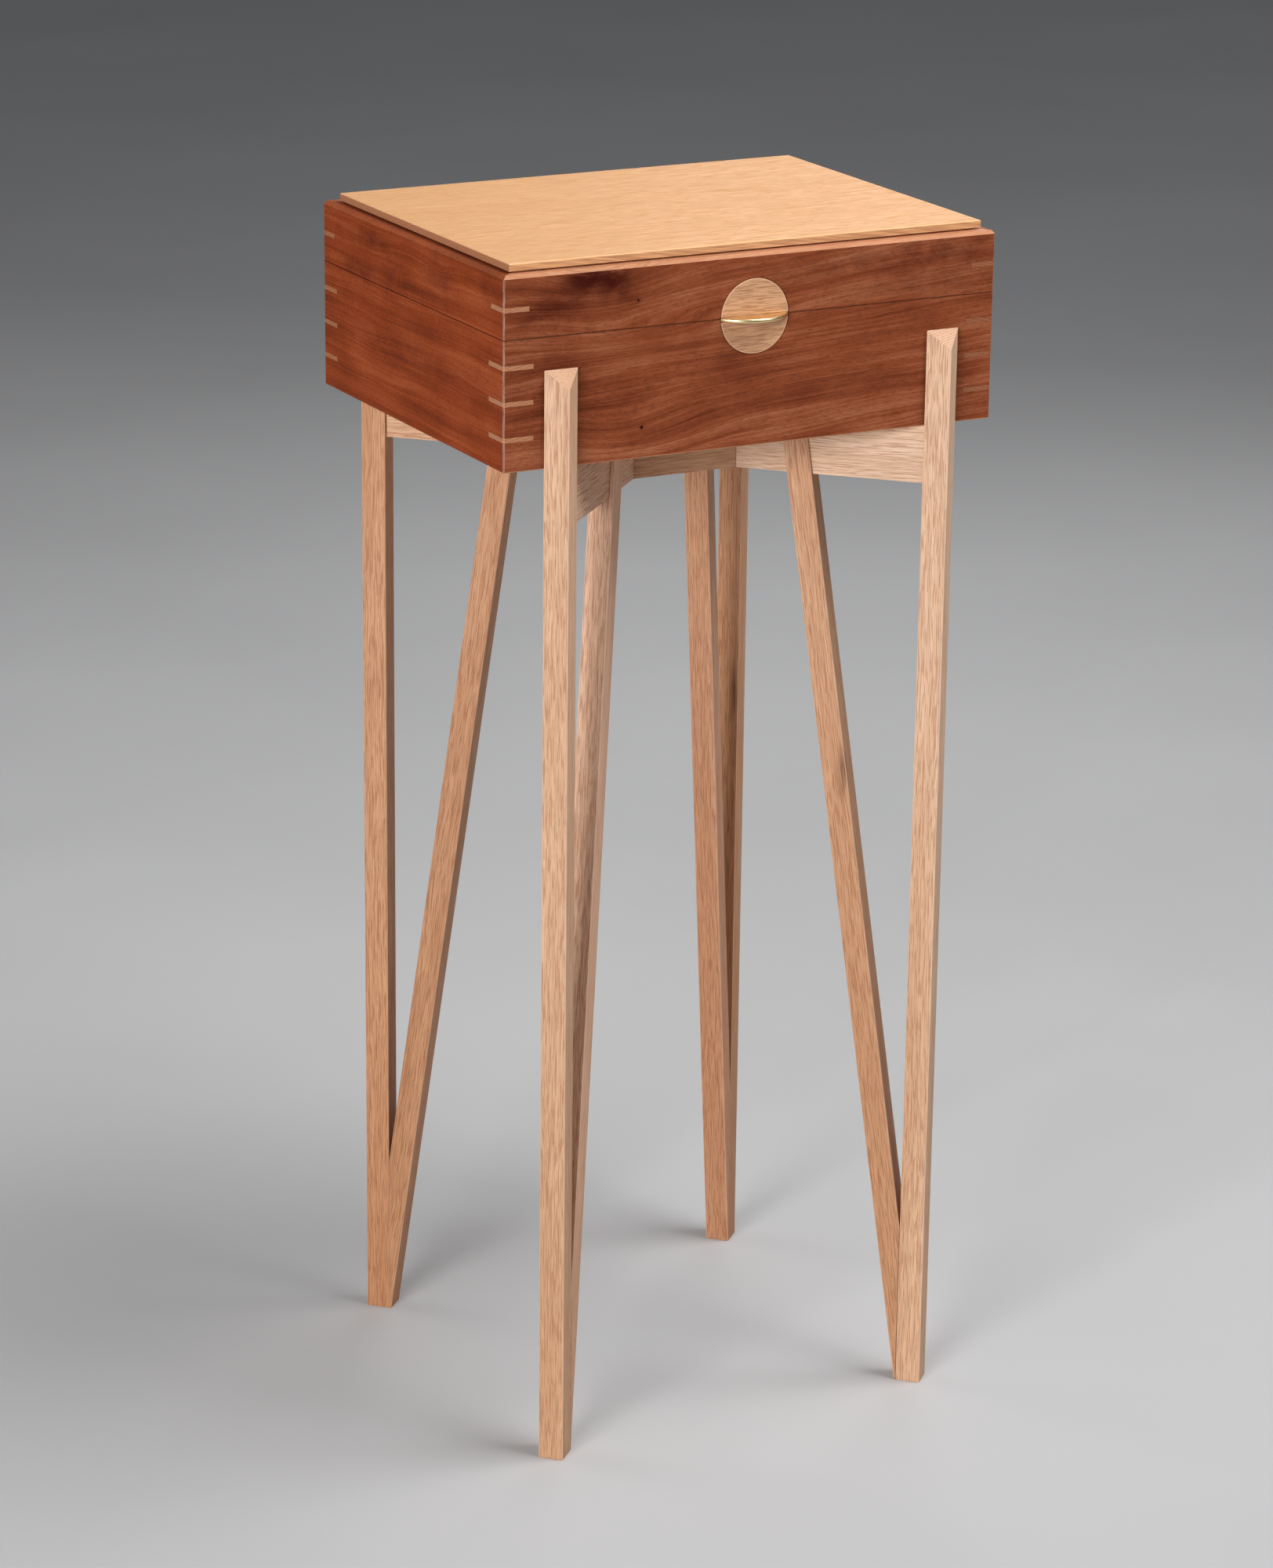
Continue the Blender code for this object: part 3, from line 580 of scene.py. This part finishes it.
def dress_box():
    """Lid and base were one box before they were sawn apart, so their grain runs on across the seam."""
    front = walnut(
        "walnut_front",
        along=(1, 0, 0),
        shift=NO_SHIFT,
        slope=-0.07,
        browns=FRONT_BROWNS_WITH_PAINTED_LIGHT,
        rim=FRONT_RIM_HIGHLIGHT,
        figures=FRONT_FIGURES,
        pins=FRONT_PINS,
        fan=FRONT_FAN,
        inlay=(0.0, SEAM_LEVEL, DISC_RADIUS),
    )
    left = walnut(
        "walnut_left",
        along=(0, -1, 0),
        shift=(1.3, 0.0, 0.05),
        slope=0.0,
        browns=LEFT_BROWNS_WITH_PAINTED_LIGHT,
        rim=OTHER_RIM_HIGHLIGHTS,
        figures=LEFT_FIGURES,
    )
    right = walnut("walnut_right", (0, 1, 0), (2.9, 0.0, 0.11), -0.02, LEFT_BROWNS_WITH_PAINTED_LIGHT, OTHER_RIM_HIGHLIGHTS)
    back = walnut("walnut_back", (-1, 0, 0), (4.1, 0.0, 0.17), 0.04, FRONT_BROWNS_WITH_PAINTED_LIGHT, OTHER_RIM_HIGHLIGHTS)
    for side, material in (("front", front), ("right", right), ("back", back), ("left", left)):
        dress(["base_" + side, "lid_" + side], material)


def dress_keys():
    for i, (corner, (across, along)) in enumerate(CORNERS.items()):
        chord = (along, -across, 0)
        tilted = (0.7 * across, 0.7 * along, 1.0)
        tones = KEY_WOODS.get(corner, KEY_TONES)
        wood = oak("key_oak_" + corner, chord, tilted, cut_from(KEY_CUT, i), tones, ring=KEY_RING)
        dress([name for name in nodes if "_key_" + corner in name], wood)


def dress_disc():
    disc = oak(
        "disc_oak",
        along=TO_RIGHT,
        up=TO_BACK,
        shift=(7.7, 0.0, 0.0),
        tones=DISC_TONES,
        pores=DISC_PORES,
        disc=(SEAM_LEVEL, DISC_RADIUS),
    )
    dress(["disc_upper", "disc_lower"], disc)


def dress_panels():
    dress(["bottom_panel"], oak("bottom_oak", TO_RIGHT, UP, (9.1, 0.0, 0.0), BOTTOM_TONES))
    panel = oak(
        "panel_oak",
        along=TO_RIGHT,
        up=UP,
        shift=(0.0, 0.0, -0.9),
        tones=PANEL_TONES,
        pores=PANEL_PORES,
        edges=PANEL_ROUND_HIGHLIGHTS,
        side=PANEL_SIDE,
        sawn=PANEL_SAWN,
    )
    dress(["lid_panel"], panel)


def dress_brass():
    dress(["finger_pull"], brass("pull_brass", 0.26, 0.36))
    hinges = [name for name in nodes if name.startswith("hinge_")]
    dress(hinges, brass("hinge_brass", 0.22, 0.34))


def new_object(name, bm):
    """An object in the scene with the shape of a bmesh, which is used up."""
    mesh = bpy.data.meshes.new(name)
    bm.to_mesh(mesh)
    bm.free()
    made = bpy.data.objects.new(name, mesh)
    bpy.context.scene.collection.objects.link(made)
    return made


def turned_head(name):
    """The profile of a screw head, carried round its axis."""
    bm = bmesh.new()
    rings = []
    for radius, height in SCREW_PROFILE:
        ring = []
        for i in range(SCREW_SIDES if radius else 1):
            angle = 2 * math.pi * i / SCREW_SIDES
            ring.append(bm.verts.new((radius * math.cos(angle), radius * math.sin(angle), height)))
        rings.append(ring)
    for upper, lower in zip(rings, rings[1:]):
        for i in range(SCREW_SIDES):
            j = (i + 1) % SCREW_SIDES
            loop = [upper[i % len(upper)], lower[i % len(lower)]]
            loop += [lower[j % len(lower)], upper[j % len(upper)]]
            bm.faces.new(list(dict.fromkeys(loop)))
    bmesh.ops.recalc_face_normals(bm, faces=bm.faces[:])
    return new_object(name, bm)


def cut_slot(head):
    bm = bmesh.new()
    bmesh.ops.create_cube(bm, size=1.0)
    bmesh.ops.scale(bm, vec=SLOT_SIZE, verts=bm.verts[:])
    tool = new_object(head.name + "_slot", bm)
    cut = head.modifiers.new("slot", "BOOLEAN")
    cut.operation = "DIFFERENCE"
    cut.solver = "EXACT"
    cut.object = tool
    solved = head.evaluated_get(bpy.context.evaluated_depsgraph_get())
    head.data = bpy.data.meshes.new_from_object(solved)
    head.modifiers.clear()
    bpy.data.objects.remove(tool)


def screw(name, place, up, body, material):
    """A slotted countersunk screw whose head lies in a hinge leaf."""
    head = turned_head(name)
    cut_slot(head)
    head.data.materials.clear()
    head.data.materials.append(material)
    head.data.shade_smooth()
    head.data.set_sharp_from_angle(angle=SCREW_CREASE)
    head.location = place
    turn = SCREW_TURN + SCREW_TURN_PER_METRE * place[0]
    head.rotation_euler = (0.0 if up > 0 else math.pi, 0.0, turn)
    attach(head, body)


def add_screws():
    """Three screws in each hinge leaf, the middle one a little nearer to the front."""
    material = brass("screw_brass", 0.24, 0.36)
    for leaf, body, up, face in (("base", "box", 1, BASE_TOP), ("lid", "lid", -1, LID_UNDERSIDE)):
        for side in ("left", "right"):
            node = "hinge_%s_leaf_%s" % (leaf, side)
            low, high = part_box(node)
            middle = (low[0] + high[0]) / 2
            for i, depth in SCREW_DEPTHS.items():
                place = (middle + SCREW_SPACING * i, depth, face)
                screw("%s_screw_%d" % (node, i + 2), place, up, body, material)


def add_floor():
    s = Surface("floor", Specular_IOR_Level=0.2)
    p = s.place()
    cloud = s.noise(p, (1.5, 1.5, 1.5), 3.0)
    speck = s.noise(p, (900.0, 900.0, 900.0))
    colour = s.ramp(cloud, *FLOOR_GREYS)
    material = s.finish(colour, s.ease(cloud, 0.3, 0.7, 0.75, 0.85), speck, 0.0002, 0.1)
    bm = bmesh.new()
    bmesh.ops.create_grid(bm, x_segments=1, y_segments=1, size=FLOOR_SIZE)
    floor = new_object("floor", bm)
    floor.location.z = FLOOR_LEVEL
    floor.data.materials.append(material)


def add_lamp(name, place, target, size, power, spread):
    lamp = bpy.data.lights.new(name, "AREA")
    lamp.shape = "SQUARE"
    lamp.size = size
    lamp.energy = power
    lamp.spread = math.radians(spread)
    holder = bpy.data.objects.new(name, lamp)
    holder.location = place
    way = Vector(target) - Vector(place)
    holder.rotation_euler = way.to_track_quat("-Z", "Y").to_euler()
    bpy.context.scene.collection.objects.link(holder)


def add_sky():
    """What is seen of the world is as dim as the far floor, so no horizon shows."""
    world = bpy.data.worlds.new("studio")
    world.use_nodes = True
    tree = world.node_tree
    sky = tree.nodes["Background"]
    sky.inputs["Color"].default_value = rgba(SKY_COLOUR)
    seen = tree.nodes.new("ShaderNodeLightPath").outputs["Is Camera Ray"]
    level = tree.nodes.new("ShaderNodeMapRange")
    level.inputs["To Min"].default_value = SKY_LIGHT
    level.inputs["To Max"].default_value = SKY_SEEN
    tree.links.new(seen, level.inputs["Value"])
    tree.links.new(level.outputs[0], sky.inputs["Strength"])
    bpy.context.scene.world = world


def add_camera():
    """Where the photograph was taken from: turned and tipped as the lines of the box and the legs say."""
    flat = math.cos(CAMERA_PITCH)
    ahead = Vector((math.sin(CAMERA_YAW) * flat, math.cos(CAMERA_YAW) * flat, -math.sin(CAMERA_PITCH)))
    level = Vector((math.cos(CAMERA_YAW), -math.sin(CAMERA_YAW), 0.0))
    above = level.cross(ahead)
    right = math.cos(CAMERA_ROLL) * level + math.sin(CAMERA_ROLL) * above
    top = math.cos(CAMERA_ROLL) * above - math.sin(CAMERA_ROLL) * level
    data = bpy.data.cameras.new("camera")
    data.sensor_fit = "AUTO"
    data.sensor_width = CAMERA_SENSOR
    data.lens = CAMERA_LENS
    camera = bpy.data.objects.new("camera", data)
    turn = Matrix((right, top, -ahead)).transposed().to_4x4()
    camera.matrix_world = Matrix.Translation(CAMERA_PLACE) @ turn
    bpy.context.scene.collection.objects.link(camera)
    bpy.context.scene.camera = camera


dress_stand()
dress_box()
dress_keys()
dress_disc()
dress_panels()
dress_brass()
add_screws()
add_floor()
for lamp in LAMPS:
    add_lamp(*lamp)
add_sky()
add_camera()
bpy.context.scene.view_settings.view_transform = "Standard"
